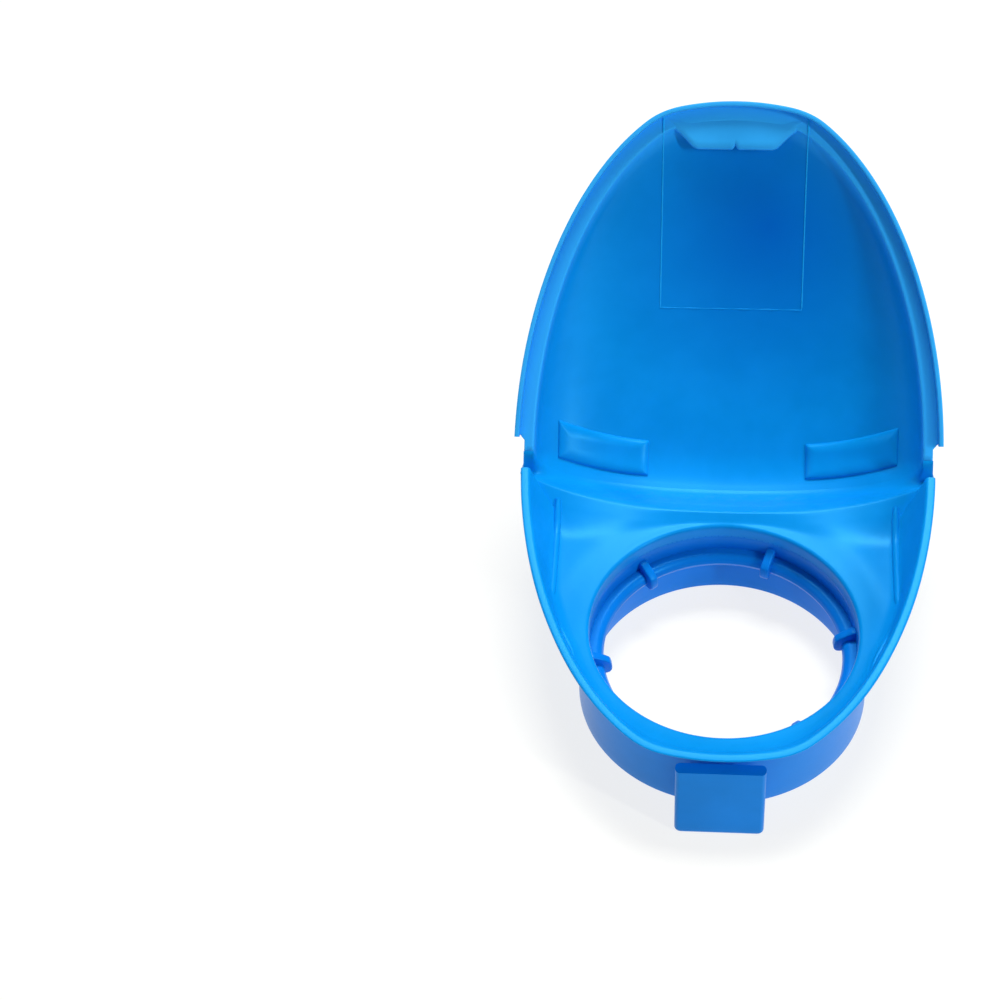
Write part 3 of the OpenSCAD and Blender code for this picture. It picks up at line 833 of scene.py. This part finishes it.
class CAP_OT_lid(bpy.types.Operator):
    """Builds the lid's bowl and the skirt round its rim"""

    bl_idname = "cap.lid"
    bl_label = "Lid shell and skirt"

    def execute(self, context):
        m = moulding()
        centre = np.array([0.0, 30.0])
        rows = [(m.lid_edge(t, 0), m.outline(t, m.step_w), 0.0) for t in m.turns(0, 0.0, 200)]
        steps = 88
        for i in range(1, steps):
            f = -math.cos(math.pi * i / steps)
            xo, xi = (m.lid_w - m.ear_notch) * f, (m.lid_w - m.step_w) * f
            rows.append((np.array([xo, m.rear_u(xo, 0, 0)]),
                         np.array([xi, m.rear_u(xi, m.step_w, m.wall)]), 1.0))

        def bowl(edge, g, d, c, rear):
            q = centre + (edge - centre) * g
            at_rim = g >= 1 and not rear
            return m.lid(*q, m.rim_gap if at_rim else m.dome(*q, d, c))

        rings = []
        out_g = 1 - np.linspace(0.0, 0.985, 90) ** 2.2
        for out, inn, rear in rows:
            inner = [bowl(inn, g, m.step_w, m.wall, rear) for g in out_g[::-1]]
            outer = [bowl(out, g, 0, 0, rear) for g in out_g]
            lines = [inner, [inner[-1], outer[0]], outer]
            reach = [0.04, 0.9] if rear else [0.9, 0.3]
            rings.append(section(lines, reach, [34, 4, 34], [4, 3, 0], closed=False))
        poles = [m.lid(*centre, m.dome(*centre, m.step_w, m.wall)), m.lid(*centre, m.dome(*centre))]
        shell = loft("lid_shell_skin", rings, poles=poles, sharp=55.0)
        # the shell's material paints shade into the bowl and a glow along its rim
        shell.data.materials.append(finish_named("bowl_blue"))
        finish_piece(shell, "soft_blue", "lid", ["lid_shell"])

        rings = []
        for t in m.turns(0, 3.6, 200):
            p, q = m.outline(t, 0), m.outline(t, m.skirt_t)
            root = m.rim_gap + 0.6
            a, b = m.lid(*p, root), m.lid(*q, root)
            c, d = m.lid(*q, -m.skirt_h), m.lid(*p, -m.skirt_h)
            sides = [[a, b], [b, c], [c, d], [d, a]]
            rings.append(section(sides, [0.02, 0.4, 0.4, 0.02], [2, 4, 2, 4], [1, 3, 3, 1]))
        skirt = loft("lid_skirt_skin", rings, around=False, caps=True)
        # rim_blue paints a glow on the skirt: a lighter blue for light shining through its thin wall
        finish_piece(skirt, "rim_blue", "lid", ["lid_skirt"])
        return {"FINISHED"}


class CAP_OT_catches(bpy.types.Operator):
    """Builds the latch lip at the tip and the snap pads beside the fold"""

    bl_idname = "cap.catches"
    bl_label = "Latch lip and snap pads"

    def execute(self, context):
        m = moulding()
        nx, nu = 96, 24
        lip_half, notch_w = 17.8, 0.4
        # the free edge is straight in the middle and runs back to the tip at both ends
        places, back = [0, 9.4, 10.6, 14.0, 15.4, lip_half], [0, 0, 0.5, 3.9, 4.9, 6.6]
        top, bottom = [], []
        for i in range(nx + 1):
            x = lip_half * (-1 + 2 * i / nx)
            tip = m.tip_at(x, 0) - 1.1
            free = m.lip_u + 0.2 + np.interp(abs(x), places, back) + math.exp(-(x / notch_w) ** 2)
            line_t, line_b = [], []
            for j in range(nu + 1):
                v = (j / nu) ** 1.5
                u = free + (tip - free) * v
                near = min((u - free) / 2.1, (lip_half - abs(x)) / 1.2 + 0.05, 1)
                drop = 1 - math.sqrt(max(1 - (1 - near) ** 2, 0))
                face = 0.18 + 0.5 * smooth((v - 0.4) / 0.6) + 1.1 * drop
                under = min(2.3 - 0.2 * drop, m.dome(x, u) - 0.4)
                line_t.append(m.lid(x, u, min(face, under - 0.15)))
                line_b.append(m.lid(x, u, under))
            top.append(line_t)
            bottom.append(line_b)
        # rim_blue paints a glow on the latch lip: a lighter blue for light shining through its thin edge
        finish_piece(slab("latch_lip_skin", top, bottom), "rim_blue", "lid", ["latch_lip"])

        tree = bar_tree()
        line_x, line_end = 18.05, 36.8
        for side, name in ((-1, "left"), (1, "right")):
            x = side * line_x
            rim_from, rim_to = m.tip_at(x, 0) - 1.3, m.tip_at(x, m.step_w)
            path = [m.lid(x, u, m.rim_gap) for u in np.linspace(rim_from, rim_to, 14)]
            path += [m.inside(x, u, 0.02) for u in np.linspace(rim_to - 0.3, line_end, 60)]
            # the line is ragged over the rim face and fine down the bowl
            radii = [0.26 + 0.08 * math.sin(2.4 * k) * math.sin(0.9 * k) for k in range(14)]
            radii += [0.17] * 59 + [0.05]
            made = grow(path_object("line path", path, radii), tree, f"parting_line_{name}_skin", Sides=8,
                        Finish=finish_named("mark_blue"))
            finish_piece(made, "mark_blue", "lid")
        path = [m.inside(x, line_end, -0.05) for x in np.linspace(-line_x, line_x, 50)]
        radii = [0.14 + 0.05 * math.sin(0.7 * k) for k in range(50)]
        made = grow(path_object("line path", path, radii), tree, "parting_line_lower_skin", Sides=8,
                    Finish=finish_named("soft_blue"))
        finish_piece(made, "soft_blue", "lid")

        nx, nu = 60, 30
        pad_from, pad_l, pad_h = 20.0, 23.4, 9.6
        for side, name in ((-1, "left"), (1, "right")):
            top, bottom = [], []
            for i in range(nx + 1):
                f = i / nx
                out = pad_l * f
                x = side * (pad_from + out)
                middle = -2.1 + 0.05 * out + 0.0068 * out ** 2
                line_t, line_b = [], []
                for j in range(nu + 1):
                    g = j / nu
                    u = middle + (g - 0.5) * (pad_h - 0.4 + 0.8 * f)
                    near = min(min(f, 1 - f) * pad_l, min(g, 1 - g) * pad_h)
                    k = min(near / (2.4 + 1.2 * f), 1)
                    lift = -0.25 + 1.55 * math.sqrt(max(1 - (1 - k) ** 2, 0))
                    line_t.append(m.inside(x, u, lift))
                    line_b.append(m.inside(x, u, -0.5))
                top.append(line_t)
                bottom.append(line_b)
            finish_piece(slab(f"snap_pad_{name}_skin", top, bottom), "soft_blue", "lid",
                         [f"snap_pad_{name}"])
        return {"FINISHED"}


class CAP_OT_marks(bpy.types.Operator):
    """Builds the raised line, the pictograms and the arrow on the closed lid's face"""

    bl_idname = "cap.marks"
    bl_label = "Raised marks"

    def execute(self, context):
        m = moulding()
        tree = bar_tree()
        points = []
        n, half, middle, above, below = 240, 44, 22, 51, 28
        for i in range(n):
            a = 2 * math.pi * i / n
            c, s = math.cos(a), math.sin(a)
            x = (half - 3 * max(s, 0)) * math.copysign(abs(c) ** (0.85 + 0.25 * max(s, 0)), c)
            u = middle + above * s ** 1.05 if s > 0 else middle - below * (-s) ** 0.62
            points.append(m.outside(x, u, -0.15))
        path = path_object("panel path", points, [0.6] * n, closed=True)
        bead = grow(path, tree, "panel_bead_skin", Sides=12, Finish=finish_named("mark_blue"))
        finish_piece(bead, "mark_blue", "lid", ["panel_bead"])

        def mark(name, loops):
            finish_piece(raised(f"{name}_skin", m, loops), "mark_blue", "lid", [name])

        def arc(x, u_end, u_mid, k=24):
            return [(t * x, u_end + (u_mid - u_end) * (1 - t * t)) for t in np.linspace(-1, 1, k)]

        def box(cx, cu, w, h, turn=0.0):
            a = math.radians(turn)
            return [(cx + px * math.cos(a) - pu * math.sin(a), cu + px * math.sin(a) + pu * math.cos(a))
                    for px, pu in ((-w / 2, -h / 2), (w / 2, -h / 2), (w / 2, h / 2), (-w / 2, h / 2))]

        def bar(p, q, w):
            d = np.subtract(q, p)
            side = np.array([-d[1], d[0]]) / np.linalg.norm(d) * w / 2
            return [tuple(p + side), tuple(q + side), tuple(q - side), tuple(p - side)]

        def dot(x, u, r):
            turns = np.linspace(0, 2 * math.pi, 20)[:-1]
            return [(x + r * math.cos(a), u + r * math.sin(a)) for a in turns]

        screen = arc(15.2, 43.7, 34.6) + arc(7.5, 62, 55.8)[::-1]
        pane = arc(12.7, 44, 37.4) + [(10 * k, 51.6 - 1.2 * abs(math.cos(math.pi * 2 * (k + 1))) ** 4)
                                     for k in np.linspace(1, -1, 49)]
        loops = [[screen, pane], [box(0, 62.4, 1.5, 3)], [box(0, 30.3, 1.5, 3)], [box(0, 40.6, 1.5, 3)],
                 [box(0, 47, 1.5, 3)]]
        for s in (-1, 1):
            for x, u, turn in ((10.1, 31, 12), (7.4, 26.4, -32), (2.9, 26.3, 28)):
                loops.append([box(s * x, u, 1.7, 2.6, s * turn)])
        mark("washer_symbol", loops)

        dots = [(0, 5.3), (0, 8.3)] + [(s * x, u) for s in (-1, 1)
                                       for x, u in ((3.1, 3.1), (4.1, 7.1), (7.1, 4.4), (5.9, 0.6))]
        loops = [[bar((-10, -5), (0, 2.6), 0.5)], [bar((10, -5), (0, 2.6), 0.5)]]
        mark("fill_symbol", loops + [[dot(x, u, 1.05)] for x, u in dots])
        mark("open_arrow", [[[(0, 74), (10, 85.2), (-10, 85.2)]]])
        return {"FINISHED"}


def raised(name, m, groups, lift=0.42, root=0.3, step=1.2):
    """Flat outlines, given as (x, u) points, raised from the lid's outer face and following it."""
    bm = bmesh.new()
    for loops in groups:
        edges = []
        for loop in loops:
            pts = []
            for a, b in zip(loop, loop[1:] + loop[:1]):
                n = max(1, int(math.dist(a, b) / step))
                pts += [(a[0] + (b[0] - a[0]) * k / n, a[1] + (b[1] - a[1]) * k / n) for k in range(n)]
            vs = [bm.verts.new((x * MM, u * MM, 0)) for x, u in pts]
            edges += [bm.edges.new((vs[k], vs[(k + 1) % len(vs)])) for k in range(len(vs))]
        bmesh.ops.triangle_fill(bm, use_beauty=True, edges=edges)
    for _ in range(2):
        long_edges = [e for e in bm.edges if e.calc_length() > 2.4 * MM and not e.is_boundary]
        if long_edges:
            bmesh.ops.subdivide_edges(bm, edges=long_edges, cuts=1)
            bmesh.ops.triangulate(bm, faces=bm.faces)
    top = bmesh.ops.extrude_face_region(bm, geom=bm.faces[:])["geom"]
    raised_verts = {v for v in top if isinstance(v, bmesh.types.BMVert)}
    for v in bm.verts:
        x, u = v.co.x / MM, v.co.y / MM
        v.co = Vector(m.outside(x, u, lift if v in raised_verts else -root)) * MM
    bmesh.ops.recalc_face_normals(bm, faces=bm.faces)
    mesh = bpy.data.meshes.new(name)
    bm.to_mesh(mesh)
    bm.free()
    return linked(name, mesh, 35.0)


class CAP_OT_stage(bpy.types.Operator):
    """Builds the pale floor, the soft lights and the camera"""

    bl_idname = "cap.stage"
    bl_label = "Studio"

    def execute(self, context):
        s = context.scene.cap_studio
        mesh = bpy.data.meshes.new("floor")
        reach, tall = 40, 6
        corners = [(-reach, -reach), (reach, -reach), (reach, reach), (-reach, reach)]
        walls = [(k, k + 4, (k + 1) % 4 + 4, (k + 1) % 4) for k in range(4)]
        mesh.from_pydata([(x, y, z) for z in (0, tall) for x, y in corners], [], [(0, 1, 2, 3)] + walls)
        floor = bpy.data.objects.new("floor", mesh)
        context.collection.objects.link(floor)
        material = bpy.data.materials.new("floor")
        material.use_nodes = True
        shader = material.node_tree.nodes["Principled BSDF"]
        shader.inputs["Base Color"].default_value = (*s.floor, 1)
        shader.inputs["Emission Color"].default_value = (1, 1, 1, 1)
        shader.inputs["Emission Strength"].default_value = 0.80
        shader.inputs["Roughness"].default_value = 0.6
        mesh.materials.append(material)

        world = bpy.data.worlds.new("studio")
        world.use_nodes = True
        back = world.node_tree.nodes["Background"]
        back.inputs["Color"].default_value = (1, 1, 1, 1)
        back.inputs["Strength"].default_value = 0.12
        context.scene.world = world

        def lamp(name, at, to, size, watts):
            data = bpy.data.lights.new(name, "AREA")
            data.shape = "RECTANGLE"
            data.size, data.size_y = size
            data.energy = watts
            obj = bpy.data.objects.new(name, data)
            obj.location = at
            obj.rotation_mode = "QUATERNION"
            obj.rotation_quaternion = (Vector(to) - Vector(at)).to_track_quat("-Z", "Y")
            context.collection.objects.link(obj)

        lamp("overhead", (0.06, 0.50, 1.18), (0, 0.05, 0.03), (0.60, 0.36), 14)
        lamp("strip", (0.98, -0.55, 0.70), (0, 0.06, 0.05), (0.06, 0.50), 7.0)
        lamp("left", (-1.1, -0.1, 0.75), (0, 0.02, 0.04), (0.3, 0.6), 1.2)

        data = bpy.data.cameras.new("camera")
        data.lens = s.lens
        data.sensor_width = 36
        camera = bpy.data.objects.new("camera", data)
        at, aim = Vector(s.camera_at), Vector(s.aim_at)
        look = (aim - at).normalized()
        turn = look.to_track_quat("-Z", "Y").to_matrix() @ Matrix.Rotation(s.roll, 3, "Z")
        camera.location = at
        camera.rotation_mode = "QUATERNION"
        camera.rotation_quaternion = turn.to_quaternion()
        context.collection.objects.link(camera)
        context.scene.camera = camera
        context.scene.view_settings.view_transform = "Standard"
        return {"FINISHED"}


OPERATORS = (CAP_OT_neck, CAP_OT_lugs, CAP_OT_tab, CAP_OT_scoop, CAP_OT_ribs, CAP_OT_web, CAP_OT_lid,
             CAP_OT_catches, CAP_OT_marks, CAP_OT_stage)


class CAP_PT_panel(bpy.types.Panel):
    """The cap's sizes, finish and build steps"""

    bl_idname = "CAP_PT_panel"
    bl_label = "Filler Cap"
    bl_space_type = "VIEW_3D"
    bl_region_type = "UI"
    bl_category = "Filler Cap"

    def draw(self, context):
        layout = self.layout
        for group in (context.scene.cap_sizes, context.scene.cap_finish, context.scene.cap_studio):
            box = layout.box()
            for name in type(group).__annotations__:
                box.prop(group, name)
        for kind in OPERATORS:
            layout.operator(kind.bl_idname)


GROUPS = {"cap_sizes": CapSizes, "cap_finish": CapFinish, "cap_studio": StudioSettings}


def register():
    for kind in (*GROUPS.values(), *OPERATORS, CAP_PT_panel):
        bpy.utils.register_class(kind)
    for name, kind in GROUPS.items():
        setattr(bpy.types.Scene, name, PointerProperty(type=kind))


def unregister():
    for name in GROUPS:
        delattr(bpy.types.Scene, name)
    for kind in reversed((*GROUPS.values(), *OPERATORS, CAP_PT_panel)):
        bpy.utils.unregister_class(kind)


def main():
    register()
    for kind in OPERATORS:
        group, step = kind.bl_idname.split(".")
        getattr(getattr(bpy.ops, group), step)()


if __name__ == "__main__":
    main()
